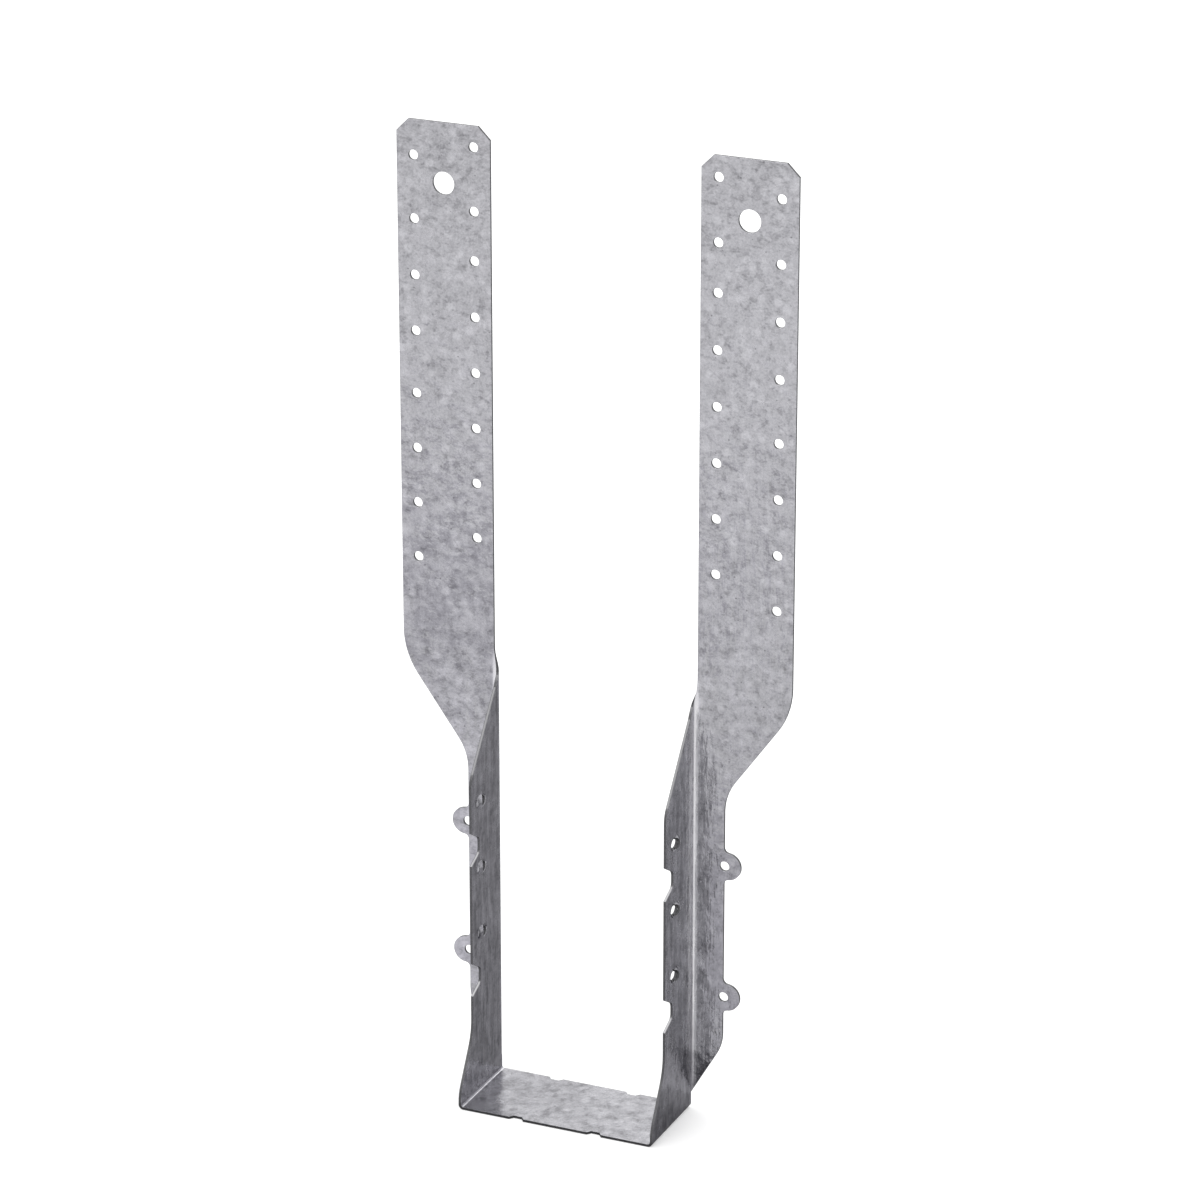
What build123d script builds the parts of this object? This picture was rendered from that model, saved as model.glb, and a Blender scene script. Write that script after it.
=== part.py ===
from build123d import *
from math import atan2, cos, degrees, pi, radians, sin, sqrt, tan
import os

# Truss hanger folded from one galvanised steel sheet. The backs of the two
# straps lie on Y = 0, the truss comes in from -Y, and Z = 0 is the seat's underside.

# Sheet and folds
sheet = 1.2
bend_radius = 1.2
pocket_width = 92.5
overall_height = 444.5

# Seat
seat_reach = 45.7
seat_setback = 1.5
seat_notch_mouth = 6.9
seat_notch_floor = 3.9
seat_notch_depth = 1.9
seat_notch_offset = 19.0

# Straps
strap_width = 44.4
strap_gap = 0.3
strap_chamfer = 5.6
shoulder_top = 197.9
shoulder_bottom = 154.5
shoulder_outer_radius = 36.0
shoulder_inner_radius = 24.0

# Narrow flanges beside the side plates
flange_width = 14.7
flange_foot = 10.0
flange_foot_angle = 60.0
flange_foot_radius = 21.0
ear_heights = [57.3, 120.8]
ear_radius = 6.35
ear_reach = 8.05
ear_root_radius = 2.5
ear_nail_offset = 0.3

# Side plates
side_depth = 31.7
taper_angle = 36.5
taper_top = 208.0
taper_top_radius = 30.8
taper_corner_radius = 11.0
flare_top = 32.1
flare_bottom = 7.5
flare_top_radius = 25.0
flare_bottom_radius = 16.0
notch_mouth = 15.8
notch_floor = 7.1
notch_depth = 8.4
notch_radius = 3.4
notch_mouth_rise = 0.5

# Nail and bolt holes: the drops are measured down from the straps' highest nails
nail_hole_diameter = 4.6
bolt_hole_diameter = 10.3
first_nail = 9.5
inner_nail_drops = [0.0, 28.6, 50.8, 76.2, 101.6, 127.0, 152.4, 177.8]
outer_nail_drops = [6.4, 34.9, 60.3, 85.7, 114.3, 139.7, 165.1, 190.5]
nail_column_spacing = 28.6
bolt_drop = 17.5

# Angled nail dimples in the side plates: the left ones sit higher, so that slanted
# nails driven from both sides pass each other
dimple_heights = [73.7, 105.4, 137.2]
dimple_setback = 21.4
dimple_width = 7.1
dimple_rise = 1.5
dimple_spread = 3.4
dimple_stagger = 4.0
slant_nail_diameter = 4.6

# Places worked out from the sizes above
pocket_half = pocket_width / 2
plate_outside = pocket_half + sheet
bend_outside_radius = bend_radius + sheet
bend_x = plate_outside + bend_radius
bend_y = -bend_outside_radius
bend_run = (bend_radius + sheet / 2) * pi / 2
strap_inside = bend_x + strap_gap
strap_outside = strap_inside + strap_width
strap_middle = (strap_inside + strap_outside) / 2
flange_outside = plate_outside + flange_width
first_nail_height = overall_height - first_nail
taper_slope = 1 / tan(radians(taper_angle))
foot_slope = tan(radians(flange_foot_angle))


def sheared_edge_height(run):
    """Height of the edge that leaves the strap's inner side and runs down the taper.

    The run is measured along the unfolded sheet from the strap's inner edge.
    """
    arc_run = taper_top_radius * (1 - cos(radians(taper_angle)))
    if run <= arc_run:
        across = taper_top_radius - run
        return taper_top - sqrt(taper_top_radius**2 - across**2)
    arc_bottom = taper_top - taper_top_radius * sin(radians(taper_angle))
    return arc_bottom - (run - arc_run) * taper_slope


def depth_at(run):
    """Y of a point on the side plate, from its run along the unfolded sheet."""
    return bend_y - (run - strap_gap - bend_run)


# U-shaped channel: the seat between the two side plates
fold_line_run = strap_gap + bend_run
taper_arc_run = taper_top_radius * (1 - cos(radians(taper_angle)))
taper_start = (depth_at(taper_arc_run), sheared_edge_height(taper_arc_run))
fold_line_top = (bend_y, sheared_edge_height(fold_line_run))
taper_end_height = sheared_edge_height(fold_line_run + side_depth - bend_outside_radius)
relief_height = flange_foot - (bend_x - plate_outside) * foot_slope

outside_bends = [bend_outside_radius, bend_outside_radius]
inside_bends = [bend_radius, bend_radius]

with BuildPart() as channel:
    with BuildSketch(Plane.XZ):
        with BuildLine():
            FilletPolyline(
                (-plate_outside, taper_top),
                (-plate_outside, 0),
                (plate_outside, 0),
                (plate_outside, taper_top),
                (pocket_half, taper_top),
                (pocket_half, sheet),
                (-pocket_half, sheet),
                (-pocket_half, taper_top),
                radius=[0, *outside_bends, 0, 0, *inside_bends, 0],
                close=True,
            )
        make_face()
    extrude(amount=seat_reach)

    with BuildSketch(Plane.YZ) as side_outline:
        with BuildLine():
            FilletPolyline(
                (-seat_setback, 0),
                (-seat_reach, 0),
                (-seat_reach, flare_bottom),
                (-side_depth, flare_top),
                (-side_depth, taper_end_height),
                taper_start,
                radius=[0, flare_bottom_radius, flare_top_radius, taper_corner_radius],
            )
            RadiusArc(taper_start, fold_line_top, taper_top_radius)
            Polyline(
                fold_line_top,
                (bend_y, relief_height),
                (-seat_setback, relief_height),
                (-seat_setback, 0),
            )
        make_face()
    extrude(amount=plate_outside, both=True, mode=Mode.INTERSECT)

# Notches in the free edges of the side plates, level with the flange ears
with BuildPart() as side_notches:
    with BuildSketch(Plane.YZ):
        for height in ear_heights:
            mouth_middle = height + notch_mouth_rise
            with BuildLine():
                FilletPolyline(
                    (-side_depth, mouth_middle + notch_mouth / 2),
                    (-side_depth + notch_depth, height + notch_floor / 2),
                    (-side_depth + notch_depth, height - notch_floor / 2),
                    (-side_depth, mouth_middle - notch_mouth / 2),
                    (-side_depth - notch_depth, mouth_middle - notch_mouth / 2),
                    (-side_depth - notch_depth, mouth_middle + notch_mouth / 2),
                    radius=[0, notch_radius, notch_radius, 0, 0, 0],
                    close=True,
                )
            make_face()
    extrude(amount=plate_outside, both=True)

# Shallow notches in the front and back edges of the seat
with BuildPart() as seat_notches:
    notch_side_angle = degrees(atan2(seat_notch_depth, (seat_notch_mouth - seat_notch_floor) / 2))
    with BuildSketch(Plane.XY):
        for x in (-seat_notch_offset, seat_notch_offset):
            with Locations(Location((x, -seat_reach), 0), Location((x, -seat_setback), 180)):
                Trapezoid(
                    seat_notch_mouth,
                    seat_notch_depth,
                    notch_side_angle,
                    align=(Align.CENTER, Align.MIN),
                )
    extrude(amount=sheet)

# Slanted nail dimples: each is a dome pushed out behind a dome pushed in, with
# the nail hole aslant through the slope between them
plate_middle = pocket_half + sheet / 2
dome_radius = (dimple_width**2 / 4 + dimple_rise**2) / (2 * dimple_rise)
hollow_radius = dome_radius - sheet
dome_sink = dome_radius - dimple_rise - sheet / 2
rear_centres = [
    (plate_middle - dome_sink, -dimple_setback + dimple_spread / 2, z) for z in dimple_heights
]
front_centres = [
    (plate_middle + dome_sink, -dimple_setback - dimple_spread / 2, z) for z in dimple_heights
]

with BuildPart() as outward_domes:
    with Locations(*rear_centres):
        Sphere(dome_radius, rotation=(0, 0, 180))
    with BuildSketch(Plane.YZ.offset(plate_middle)):
        Rectangle(2 * side_depth, 2 * taper_top)
    extrude(amount=dome_radius, mode=Mode.INTERSECT)

with BuildPart() as inward_domes:
    with Locations(*front_centres):
        Sphere(dome_radius)
    with BuildSketch(Plane.YZ.offset(plate_middle)):
        Rectangle(2 * side_depth, 2 * taper_top)
    extrude(amount=-dome_radius, mode=Mode.INTERSECT)

with BuildPart() as dimple_hollows:
    with Locations(*rear_centres):
        Sphere(hollow_radius, rotation=(0, 0, 180))
    with Locations(*front_centres):
        Sphere(hollow_radius)
    for z in dimple_heights:
        nail_way = Plane(
            origin=(plate_middle, -dimple_setback, z),
            z_dir=(dome_sink, -dimple_spread / 2, 0),
        )
        with BuildSketch(nail_way):
            Circle(slant_nail_diameter / 2)
        extrude(amount=hollow_radius, both=True)

# Flat strap and narrow flange of the right side, with their ears and holes
inner_nails = [
    (strap_middle - nail_column_spacing / 2, first_nail_height - drop) for drop in inner_nail_drops
]
outer_nails = [
    (strap_middle + nail_column_spacing / 2, first_nail_height - drop) for drop in outer_nail_drops
]
ear_nails = [(flange_outside + ear_nail_offset, height) for height in ear_heights]
flange_corner = flange_foot + (flange_outside - bend_x) * foot_slope

with BuildPart() as flange:
    with BuildSketch(Plane.XZ) as flange_outline:
        with BuildLine():
            FilletPolyline(
                (bend_x, flange_foot),
                (flange_outside, flange_corner),
                (flange_outside, shoulder_bottom),
                (strap_outside, shoulder_top),
                (strap_outside, overall_height),
                (strap_inside, overall_height),
                (strap_inside, taper_top),
                radius=[flange_foot_radius, shoulder_inner_radius, shoulder_outer_radius, 0, 0],
            )
            RadiusArc(
                (strap_inside, taper_top),
                (bend_x, sheared_edge_height(strap_gap)),
                taper_top_radius,
            )
            Line((bend_x, sheared_edge_height(strap_gap)), (bend_x, flange_foot))
        make_face()
        chamfer(flange_outline.vertices().group_by(Axis.Y)[-1], strap_chamfer)
        ear_middle = flange_outside + ear_reach - ear_radius
        with Locations(*[(ear_middle, height) for height in ear_heights]):
            Circle(ear_radius)
        ear_roots = flange_outline.vertices().filter_by(
            lambda v: abs(v.X - flange_outside) < 0.01
            and any(abs(v.Y - height) < ear_radius for height in ear_heights)
        )
        fillet(ear_roots, ear_root_radius)
        with Locations(*inner_nails, *outer_nails, *ear_nails):
            Circle(nail_hole_diameter / 2, mode=Mode.SUBTRACT)
        with Locations((strap_middle, first_nail_height - bolt_drop)):
            Circle(bolt_hole_diameter / 2, mode=Mode.SUBTRACT)
    extrude(amount=sheet)

# Fold between the right side plate and its flange. Its upper edge climbs with
# the unfolded sheet's outline, so a fan of sections cuts it to height.
with BuildPart() as fold_crown:
    for share in (0, 0.25, 0.5, 0.75, 1):
        turn = 180 - 90 * share
        outward = (cos(radians(turn)), sin(radians(turn)), 0)
        edge = sheared_edge_height(fold_line_run - share * bend_run)
        section = Plane(
            origin=(bend_x, bend_y, edge),
            x_dir=outward,
            z_dir=(outward[1], -outward[0], 0),
        )
        with BuildSketch(section):
            with Locations((bend_radius + sheet / 2, 0)):
                Rectangle(2 * sheet, taper_top, align=(Align.CENTER, Align.MIN))
    loft()

with BuildPart() as fold:
    with BuildSketch(Plane.XY):
        with Locations((bend_x, bend_y)):
            Circle(bend_outside_radius)
            Circle(bend_radius, mode=Mode.SUBTRACT)
            Rectangle(
                bend_outside_radius,
                bend_outside_radius,
                align=(Align.MAX, Align.MIN),
                mode=Mode.INTERSECT,
            )
    extrude(amount=taper_top)
    add(fold_crown.part, mode=Mode.SUBTRACT)
    with BuildSketch(Plane.XZ):
        with BuildLine():
            Polyline(
                (bend_x, flange_foot),
                (pocket_half, flange_foot - (bend_x - pocket_half) * foot_slope),
                (pocket_half, -sheet),
                (bend_x, -sheet),
                close=True,
            )
        make_face()
    extrude(amount=bend_outside_radius, mode=Mode.SUBTRACT)

# The whole hanger, one folded sheet: only the dimples differ from side to side
left_dimples = Location((0, 0, dimple_stagger))

with BuildPart() as hanger:
    add(channel.part)
    add(side_notches.part, mode=Mode.SUBTRACT)
    add(seat_notches.part, mode=Mode.SUBTRACT)
    for right_side in (flange, fold):
        add(right_side.part)
        mirror(right_side.part, about=Plane.YZ)
    for domes in (outward_domes, inward_domes):
        add(domes.part)
        mirror(left_dimples * domes.part, about=Plane.YZ)
    add(dimple_hollows.part, mode=Mode.SUBTRACT)
    mirror(left_dimples * dimple_hollows.part, about=Plane.YZ, mode=Mode.SUBTRACT)

hanger.part.label = "hanger"
os.makedirs("parts", exist_ok=True)
export_step(hanger.part, "parts/hanger.step")
print("hanger volume in cubic millimetres:", round(hanger.part.volume))
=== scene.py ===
import math
import bmesh
import bpy
from mathutils import Matrix, Vector
from mathutils.bvhtree import BVHTree


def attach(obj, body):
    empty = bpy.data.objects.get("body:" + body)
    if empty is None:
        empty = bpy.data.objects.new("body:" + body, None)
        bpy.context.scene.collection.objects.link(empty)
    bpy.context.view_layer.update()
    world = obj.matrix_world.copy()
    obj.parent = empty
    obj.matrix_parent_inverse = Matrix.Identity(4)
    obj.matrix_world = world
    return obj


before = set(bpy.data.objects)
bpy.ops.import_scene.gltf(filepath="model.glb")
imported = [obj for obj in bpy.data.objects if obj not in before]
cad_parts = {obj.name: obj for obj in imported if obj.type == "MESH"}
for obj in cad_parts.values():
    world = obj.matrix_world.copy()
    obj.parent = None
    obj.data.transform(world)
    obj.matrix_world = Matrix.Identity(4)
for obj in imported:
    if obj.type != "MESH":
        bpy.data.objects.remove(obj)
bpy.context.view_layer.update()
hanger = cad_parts["hanger"]
print("frame loaded")


class Wire:  # a node's output, on which the maths operators add Math nodes
    def __init__(self, board, socket):
        self.board, self.socket = board, socket

    def maths(self, operation, first, second):
        return self.board.add("ShaderNodeMath", {"operation": operation}, {0: first, 1: second})

    def __add__(self, other):
        return self.maths("ADD", self, other)

    def __radd__(self, other):
        return self.maths("ADD", other, self)

    def __sub__(self, other):
        return self.maths("SUBTRACT", self, other)

    def __rsub__(self, other):
        return self.maths("SUBTRACT", other, self)

    def __mul__(self, other):
        return self.maths("MULTIPLY", self, other)

    def __rmul__(self, other):
        return self.maths("MULTIPLY", other, self)


class Board:  # one material's node tree
    def __init__(self, name):
        self.material = bpy.data.materials.new(name)
        self.material.use_nodes = True
        self.tree = self.material.node_tree
        self.tree.nodes.clear()

    def add(self, kind, settings, sockets, output=0):
        node = self.tree.nodes.new(kind)
        for key, value in settings.items():
            if key == "stops":
                ramp = node.color_ramp
                while len(ramp.elements) < len(value):
                    ramp.elements.new(0.5)
                for element, (place, grey) in zip(ramp.elements, value):
                    element.position = place
                    element.color = (grey, grey, grey, 1)
            else:
                setattr(node, key, value)
        for key, value in sockets.items():
            if isinstance(value, Wire):
                self.tree.links.new(value.socket, node.inputs[key])
            else:
                node.inputs[key].default_value = value
        return Wire(self, node.outputs[output]) if node.outputs else None

    def place(self):
        return self.add("ShaderNodeTexCoord", {}, {}, "Object")

    def stretch(self, place, share):  # a share under 1 draws a noise out upright
        return self.add("ShaderNodeMapping", {}, {"Vector": place, "Scale": (1.0, 1.0, share)})

    def axis(self, place, name):
        return self.add("ShaderNodeSeparateXYZ", {}, {"Vector": place}, name)

    def gap(self, place, other):
        return self.add("ShaderNodeVectorMath", {"operation": "DISTANCE"}, {0: place, 1: other}, "Value")

    def noise(self, place, kind):
        scale, detail, roughness = kind
        sockets = {"Vector": place, "Scale": scale, "Detail": detail, "Roughness": roughness}
        return self.add("ShaderNodeTexNoise", {}, sockets, "Fac")

    def swing(self, place, kind):  # a noise that swings about nought
        return self.noise(place, kind) - 0.5

    def cells(self, place, scale, output):
        sockets = {"Vector": place, "Scale": scale, "Randomness": 1.0}
        return self.add("ShaderNodeTexVoronoi", {"feature": "F1"}, sockets, output)

    def ramp(self, value, stops, length):
        spread = [(place / length, tone) for place, tone in stops]
        return self.add("ShaderNodeValToRGB", {"stops": spread}, {"Fac": value * (1 / length)}, "Color")

    def fade(self, value, span):
        start, end, length = span
        return self.ramp(value, [(start, 1.0), (end, 0.0)], length)

    def rise(self, value, span):
        start, end, length = span
        return self.ramp(value, [(start, 0.0), (end, 1.0)], length)

    def blend(self, factor, low, high):
        colours = [c if isinstance(c, Wire) else (*c, 1) for c in (low, high)]
        return self.add("ShaderNodeMix", {"data_type": "RGBA"}, {0: factor, 6: colours[0], 7: colours[1]}, 2)

    def metal(self, sockets):
        return self.finish(self.add("ShaderNodeBsdfPrincipled", {}, {"Metallic": 1.0, **sockets}, "BSDF"))

    def finish(self, shader):
        self.add("ShaderNodeOutputMaterial", {}, {"Surface": shader})
        return self.material


# Zinc coat of the sheet's two skins. Lengths are in metres. A noise is its
# scale per metre, its detail and its roughness. A fade or rise is where it
# starts, where it ends and the length of the ramp that holds it.
zinc = {
    "light": (0.505, 0.502, 0.530),
    "dark": (0.215, 0.213, 0.228),
    "middle": 0.53,  # share of the light colour that the patterns swing about
    "cloud": (80.0, 2.0, 0.5),  # clouds about 12 mm across
    "cloudDepth": 0.60,
    "blotch": (240.0, 2.0, 0.5),  # dark and pale blotches about 4 mm across
    "blotchDepth": 0.74,
    "grain": (1100.0, 2.0, 0.6),
    "grainDepth": 0.7,
    "grainRelief": 0.2,
    "bloomScale": 175.0,  # round pale blooms 3 to 5 mm across
    "bloomFade": (0.24, 0.48, 1.0),
    "bloomRise": (0.40, 0.62, 1.0),  # tones of the cells that hold a bloom
    "bloomDepth": 0.20,
    "pitScale": 130.0,  # a few dark pits under a millimetre across
    "pitFade": (0.035, 0.065, 1.0),
    "pitDepth": 0.9,
    "smudge": (250.0, 3.0, 0.6),  # soft dark smudges of 2 to 4 mm
    "smudgeFade": (0.36, 0.46, 1.0),
    "smudgeDepth": 0.24,
    "speck": (430.0, 1.0, 0.4),  # dark dashes of 1 to 2 mm
    "speckStretch": 1.5,
    "speckRise": (0.60, 0.72, 1.0),
    "speckDepth": 0.22,
    "draw": (300.0, 4.0, 0.72),  # upright drawn marks on the side plates
    "drawStretch": 0.18,
    "drawDepth": 2.6,
    "seatFade": (0.0015, 0.0030, 0.01),  # heights at which the seat ends
    "plateFade": (0.04755, 0.0478, 0.05),  # the side plates' outer skins from the middle plane
    "foldFade": (0.195, 0.2075, 0.25),  # heights at which the folds end
    "foldCorner": (0.0475, 0.0012, 0),  # fold of a side plate, from the middle plane and the back plane
    "foldWidth": (0.0015, 0.0029, 0.005),
    # painted sheen: the fold band is drawn a lighter grey along the bend
    "foldPaintedSheen": 0.50,
    "foldRoughness": 0.14,
    "highlightLineCorner": (0.0486, 0.0014, 0),  # painted highlight: a bright line along the fold's flange side
    "highlightLineWidth": (0.0006, 0.00115, 0.005),
    "paintedHighlightColour": (0.68, 0.675, 0.695),
    "flangeFade": (0.175, 0.215, 0.25),  # heights at which the flanges end
    "flangeStart": 0.0487,  # from the middle plane
    "flangeWidth": 0.015,
    "flangeLean": -340.0,  # the flanges lean back a few degrees from the fold on
    "ripple": (300.0, 2.0, 0.5),
    "wave": (120.0, 1.0, 0.5),  # slow waves that break up what the sheet mirrors
    "waveDepth": 1.9,
    "streak": (420.0, 2.0, 0.5),  # upright streaks of the rolled coat
    "streakStretch": 0.14,
    "streakDepth": 1.2,
    "reliefDepth": 0.00018,
    "edgeRound": 0.0004,  # the coat turns over a rim in a small round
    "edgeSamples": 8,
    "roughness": 0.18,
    "roughnessSwing": 0.45,
    "seatRoughness": 0.05,
    "seatCalm": 0.65,  # share of the relief and of the swing that the seat lacks
}


def zincMaterial(look):
    board = Board("zinc_coat")
    place = board.place()
    aside = board.add("ShaderNodeVectorMath", {"operation": "ABSOLUTE"}, {0: place}, "Vector")
    level = board.add("ShaderNodeVectorMath", {"operation": "MULTIPLY"}, {0: aside, 1: (1, 1, 0)}, "Vector")
    height = board.axis(place, "Z")
    across = board.axis(aside, "X")

    seat = board.fade(height, look["seatFade"])
    plate = board.fade(across, look["plateFade"]) * (1.0 - seat)
    folded = board.fade(height, look["foldFade"])
    # painted sheen: a lighter grey band along the fold of each side plate, where the bend catches light; the
    # band is also rougher
    foldSheenBand = board.fade(board.gap(level, look["foldCorner"]), look["foldWidth"]) * folded
    # painted highlight: a narrow bright line where the fold meets the flange
    paintedHighlight = board.fade(board.gap(level, look["highlightLineCorner"]), look["highlightLineWidth"]) * folded

    cloud = board.swing(place, look["cloud"])
    blotch = board.swing(place, look["blotch"])
    grain = board.swing(place, look["grain"])
    bloomAt = board.rise(board.cells(place, look["bloomScale"], "Color"), look["bloomRise"])
    bloom = board.fade(board.cells(place, look["bloomScale"], "Distance"), look["bloomFade"]) * bloomAt
    pit = board.fade(board.cells(place, look["pitScale"], "Distance"), look["pitFade"])
    smudge = board.fade(board.noise(place, look["smudge"]), look["smudgeFade"])
    dashes = board.noise(board.stretch(place, look["speckStretch"]), look["speck"])
    speck = board.rise(dashes, look["speckRise"])
    draw = board.swing(board.stretch(place, look["drawStretch"]), look["draw"]) * plate
    brightness = (
        look["middle"]
        + cloud * look["cloudDepth"]
        + blotch * look["blotchDepth"]
        + grain * look["grainDepth"]
        + bloom * look["bloomDepth"]
        + foldSheenBand * look["foldPaintedSheen"]
        + draw * look["drawDepth"]
        - smudge * look["smudgeDepth"]
        - speck * look["speckDepth"]
        - pit * look["pitDepth"]
    )
    coat = board.blend(brightness, look["dark"], look["light"])

    ripple = board.noise(place, look["ripple"])
    wave = board.noise(place, look["wave"])
    streak = board.noise(board.stretch(place, look["streakStretch"]), look["streak"])
    calm = 1.0 - seat * look["seatCalm"]
    fromFold = {"Value": across - look["flangeStart"], "Min": 0.0, "Max": look["flangeWidth"]}
    lean = board.add("ShaderNodeClamp", {}, fromFold) * board.fade(height, look["flangeFade"])
    swell = ripple + wave * look["waveDepth"] + streak * look["streakDepth"] + grain * look["grainRelief"]
    swell = swell * calm + lean * look["flangeLean"]
    edgeSettings = {"samples": look["edgeSamples"]}
    edges = board.add("ShaderNodeBevel", edgeSettings, {"Radius": look["edgeRound"]}, "Normal")
    relief = {"Strength": 1.0, "Distance": look["reliefDepth"], "Height": swell, "Normal": edges}
    roughness = (
        look["roughness"]
        + (blotch + cloud) * calm * look["roughnessSwing"]
        + foldSheenBand * look["foldRoughness"]
        + seat * look["seatRoughness"]
    )
    return board.metal(
        {
            # painted highlight along the fold's flange side
            "Base Color": board.blend(paintedHighlight, coat, look["paintedHighlightColour"]),
            "Roughness": roughness,
            "Normal": board.add("ShaderNodeBump", {}, relief, "Normal"),
        }
    )


# Sheared rims and pierced hole walls: torn dark steel. A pale burnished band across the
# thickness is drawn only on rims that face up and forwards, where it is a painted highlight
shear = {
    "tear": (900.0, 2.0, 0.6),
    "tornLight": (0.15, 0.149, 0.155),
    "tornDark": (0.045, 0.045, 0.048),
    "burnishedHighlight": (0.50, 0.497, 0.51),
    "highlightFacing": (0, -0.42, 0.91),
    "highlightRise": (0.82, 0.97, 1.0),  # likeness to that facing at which the painted highlight starts on a rim
    # depths in the sheet, and the share of brightness at each
    "brightBand": [(0.0001, 0.35), (0.0003125, 1.0), (0.000875, 1.0), (0.001125, 0.1)],
    "bandLength": 0.00125,
    "plateInner": 0.04625,  # the side plates' inner skins from the middle plane
    "roughness": 0.36,
    "roughnessSwing": 0.2,
}


def shearMaterial(look, burnishedLit):
    board = Board("burnished_rim_painted_highlight" if burnishedLit else "torn_rim")
    place = board.place()
    tear = board.noise(place, look["tear"])
    colour = board.blend(tear, look["tornDark"], look["tornLight"])
    if burnishedLit:
        facing = {0: board.add("ShaderNodeTexCoord", {}, {}, "Normal"), 1: look["highlightFacing"]}
        likeness = board.add("ShaderNodeVectorMath", {"operation": "DOT_PRODUCT"}, facing, "Value")
        across = board.add("ShaderNodeMath", {"operation": "ABSOLUTE"}, {0: board.axis(place, "X")})
        band = board.ramp(across - look["plateInner"], look["brightBand"], look["bandLength"])
        # painted highlight: within the burnished band, rims that face up and forwards turn pale
        colour = board.blend(board.rise(likeness, look["highlightRise"]) * band, colour, look["burnishedHighlight"])
    return board.metal({"Base Color": colour, "Roughness": look["roughness"] + tear * look["roughnessSwing"]})


# A face whose normal runs through the sheet's thickness belongs to a skin. The
# rest are sheared rims, and a rim that looks at another one is a hole's wall.
sheet = {
    "plateInner": 0.04625,  # the side plates' inner skins from the middle plane
    "thickness": 0.0012,
    "bend": 0.0012,  # inside radius
    "likeness": 0.6,  # of a skin's normal to the direction through the sheet, at least
    "step": 0.00001,  # from a rim to where its look ahead starts
    "holeWidth": 0.005,
}


def throughSheet(point, look):
    around = look["thickness"] + look["bend"]  # from a bend's axis to its outer skin
    across, side = abs(point.x), math.copysign(1, point.x)
    if point.z < around and across < look["plateInner"] + look["thickness"]:
        direction = Vector((side * max(across - look["plateInner"] + look["bend"], 0), 0, point.z - around))
    elif point.y > -around:
        direction = Vector((side * min(across - look["plateInner"] - around, 0), point.y + around, 0))
    else:
        direction = Vector((1, 0, 0))
    return direction.normalized()


def dressHanger(node, look):
    mesh = node.data
    mesh.materials.clear()
    mesh.materials.append(zincMaterial(zinc))
    mesh.materials.append(shearMaterial(shear, True))
    mesh.materials.append(shearMaterial(shear, False))
    rim, wall = 1, 2  # material slots after the skin's
    tree = BVHTree.FromPolygons([v.co for v in mesh.vertices], [p.vertices for p in mesh.polygons])
    counts = [0, 0, 0]
    for face in mesh.polygons:
        if abs(face.normal.dot(throughSheet(face.center, look))) < look["likeness"]:
            ahead = tree.ray_cast(face.center + face.normal * look["step"], face.normal, look["holeWidth"])
            face.material_index = rim if ahead[0] is None else wall
        counts[face.material_index] += 1
    print("hanger dressed: faces of the skins, rims and hole walls", counts)


dressHanger(hanger, sheet)


def addPiece(name, build, material):
    mesh = bpy.data.meshes.new(name)
    build.to_mesh(mesh)
    build.free()
    mesh.materials.append(material)
    piece = bpy.data.objects.new(name, mesh)
    bpy.context.scene.collection.objects.link(piece)
    return piece


# Torn lips which the punch leaves on the inner side of the slanted nail holes
lips = {
    "across": 0.04685,  # a hole's centre from the middle plane
    "forward": 0.0214,  # and from the back plane
    "lowest": 0.0737,
    "rows": 3,
    "step": 0.03175,
    "leftLift": 0.004,
    "slant": 30.8,  # degrees between a hole's axis and the side plate's normal
    # a lip's corners: radius round the axis, and distance from the middle plane
    "section": ((0.00228, 0.0474), (0.0027, 0.0474), (0.0025, 0.04605), (0.0021, 0.04605)),
    "sweep": 200.0,  # degrees round the rear of the hole
    "steps": 24,
}


def buildLips(look):
    build = bmesh.new()
    slant, sweep = math.radians(look["slant"]), math.radians(look["sweep"])
    for side, lift in ((1, 0.0), (-1, look["leftLift"])):
        axis = Vector((side * math.cos(slant), -math.sin(slant), 0))
        rear = Vector((side * math.sin(slant), math.cos(slant), 0))
        for row in range(look["rows"]):
            height = look["lowest"] + lift + row * look["step"]
            centre = Vector((side * look["across"], -look["forward"], height))
            sections = []
            for step in range(look["steps"] + 1):
                outward = Matrix.Rotation(sweep * (step / look["steps"] - 0.5), 3, axis) @ rear
                section = []
                for radius, across in look["section"]:
                    point = centre + outward * radius
                    slide = (across - side * point.x) / math.cos(slant)
                    section.append(build.verts.new(point + axis * slide))
                sections.append(section)
            for first, second in zip(sections, sections[1:]):
                for k in range(len(first)):
                    build.faces.new([first[k], first[k - 1], second[k - 1], second[k]])
            build.faces.new(sections[0])
            build.faces.new(sections[-1])
    bmesh.ops.recalc_face_normals(build, faces=build.faces)
    piece = addPiece("nail_lips", build, shearMaterial(shear, False))
    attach(piece, "root")
    print("nail lips built")


buildLips(lips)

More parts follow.
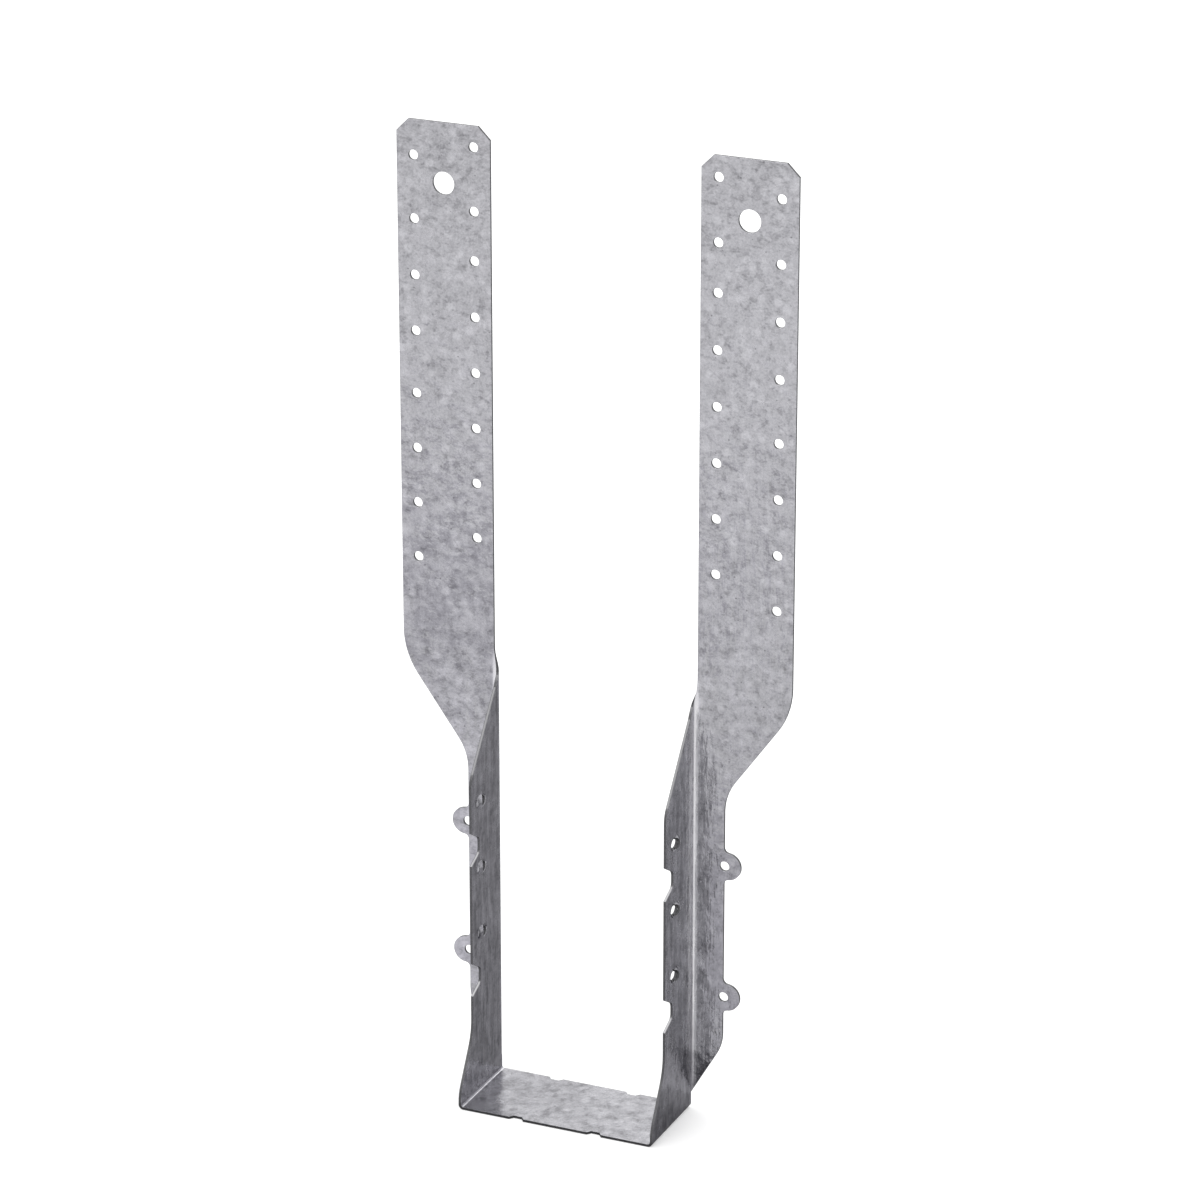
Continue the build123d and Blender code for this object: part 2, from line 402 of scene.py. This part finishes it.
# Floor, grey cards and lamps
studio = {
    "floorHalf": 12.0,
    "floorGrey": 0.80,
    "floorGlow": 0.30,
    "glossShare": 0.3,  # share of that glow which reflections see
    "worldStrength": 1.0,
    "cardTint": (1.0, 0.99, 1.035),
    "mats": {  # matt cards on the floor that only reflections see: grey, height and corners
        "rear_mat": (0.30, 0.0004, ((-0.16, -0.05), (0.52, -0.05), (0.80, 0.80), (0.06, 0.90))),
        "foot_mat": (0.42, 0.0008, ((0.05, 0.01), (0.26, 0.01), (0.26, 0.14), (0.05, 0.14))),
        "left_mat": (0.66, 0.0006, ((-0.60, -0.70), (-0.14, -0.70), (-0.20, -0.40), (-0.36, -0.36))),
        "near_mat": (0.68, 0.0006, ((-0.06, -0.34), (0.06, -0.34), (0.06, -0.08), (-0.04, -0.08))),
        "pale_mat": (0.98, 0.0006, ((-0.24, -0.34), (-0.10, -0.32), (-0.06, -0.08), (-0.22, -0.08))),
    },
    "rearCardGrey": 0.85,
    "rearCard": ((0.24, 1.05, 0.0), (1.10, 0.80, 0.0), (1.10, 0.80, 0.62), (0.24, 1.05, 0.62)),
    "lamps": {  # place, what it points at, size across and strength in watts
        "back_lamp": ((-0.10, 1.70, 1.10), (0, 0, 0.1), 0.6, 2.8),
        "key_lamp": ((-0.75, -1.45, 1.60), (0, 0, 0.1), 1.4, 7.0),
        "top_lamp": ((-0.75, 0.90, 1.60), (0, 0, 0.1), 1.6, 7.0),
        "floor_lamp": ((-0.32, -1.15, 0.75), (-0.32, -1.15, 0), 0.5, 2.7),
    },
}


def floorMaterial(look):
    board = Board("floor_white")
    grey = look["floorGrey"]
    plain = board.add("ShaderNodeBsdfDiffuse", {}, {"Color": (grey, grey, grey, 1)})
    glow = board.add("ShaderNodeEmission", {}, {"Color": (1, 1, 1, 1), "Strength": look["floorGlow"]})
    both = board.add("ShaderNodeAddShader", {}, {0: plain, 1: glow})
    cameraRay = board.add("ShaderNodeLightPath", {}, {}, "Is Camera Ray")
    glossyRay = board.add("ShaderNodeLightPath", {}, {}, "Is Glossy Ray")
    throughRay = board.add("ShaderNodeLightPath", {}, {}, "Is Transmission Ray")
    seen = cameraRay + (glossyRay + throughRay) * look["glossShare"]
    return board.finish(board.add("ShaderNodeMixShader", {}, {0: seen, 1: plain, 2: both}))


def flatSheet(name, corners, material):
    build = bmesh.new()
    build.faces.new([build.verts.new(corner) for corner in corners])
    piece = addPiece(name, build, material)
    return piece


def addCard(name, corners, grey, tint):
    board = Board(name + "_grey")
    colour = [grey * share for share in tint]
    matt = board.finish(board.add("ShaderNodeBsdfDiffuse", {}, {"Color": (*colour, 1)}))
    card = flatSheet(name, corners, matt)
    card.visible_camera = False
    card.visible_diffuse = False
    card.visible_shadow = False


def addLamp(name, place, target, size, watts):
    lamp = bpy.data.lights.new(name, "AREA")
    lamp.size = size
    lamp.energy = watts
    lampObject = bpy.data.objects.new(name, lamp)
    lampObject.location = place
    aim = Vector(target) - Vector(place)
    lampObject.rotation_euler = aim.to_track_quat("-Z", "Y").to_euler()
    bpy.context.scene.collection.objects.link(lampObject)


def buildStudio(look):
    half = look["floorHalf"]
    floorCorners = [(-half, -half, 0), (half, -half, 0), (half, half, 0), (-half, half, 0)]
    flatSheet("floor", floorCorners, floorMaterial(look))
    for name, (grey, height, ground) in look["mats"].items():
        addCard(name, [(x, y, height) for x, y in ground], grey, look["cardTint"])
    addCard("rear_card", look["rearCard"], look["rearCardGrey"], look["cardTint"])
    world = bpy.data.worlds.new("studio")
    world.use_nodes = True
    background = world.node_tree.nodes["Background"]
    background.inputs["Color"].default_value = (1, 1, 1, 1)
    background.inputs["Strength"].default_value = look["worldStrength"]
    bpy.context.scene.world = world
    for name, (place, target, size, watts) in look["lamps"].items():
        addLamp(name, place, target, size, watts)
    print("studio built")


buildStudio(studio)

# Camera at the photograph's angle
view = {
    "azimuth": 23.849,
    "elevation": 20.753,
    "distance": 2.1881,
    "target": (0.00219, -0.0006, 0.23694),
    "lens": 150.115,
    "sensor": 36.0,
    "clipEnd": 100.0,
}


def buildCamera(look):
    camera = bpy.data.cameras.new("camera")
    camera.lens = look["lens"]
    camera.sensor_width = look["sensor"]
    camera.clip_end = look["clipEnd"]
    turn, lift = math.radians(look["azimuth"]), math.radians(look["elevation"])
    back = Vector((math.sin(turn) * math.cos(lift), -math.cos(turn) * math.cos(lift), math.sin(lift)))
    cameraObject = bpy.data.objects.new("camera", camera)
    cameraObject.location = Vector(look["target"]) + back * look["distance"]
    cameraObject.rotation_euler = (-back).to_track_quat("-Z", "Y").to_euler()
    bpy.context.scene.collection.objects.link(cameraObject)
    bpy.context.scene.camera = cameraObject
    bpy.context.scene.view_settings.view_transform = "Standard"
    print("camera placed")


buildCamera(view)
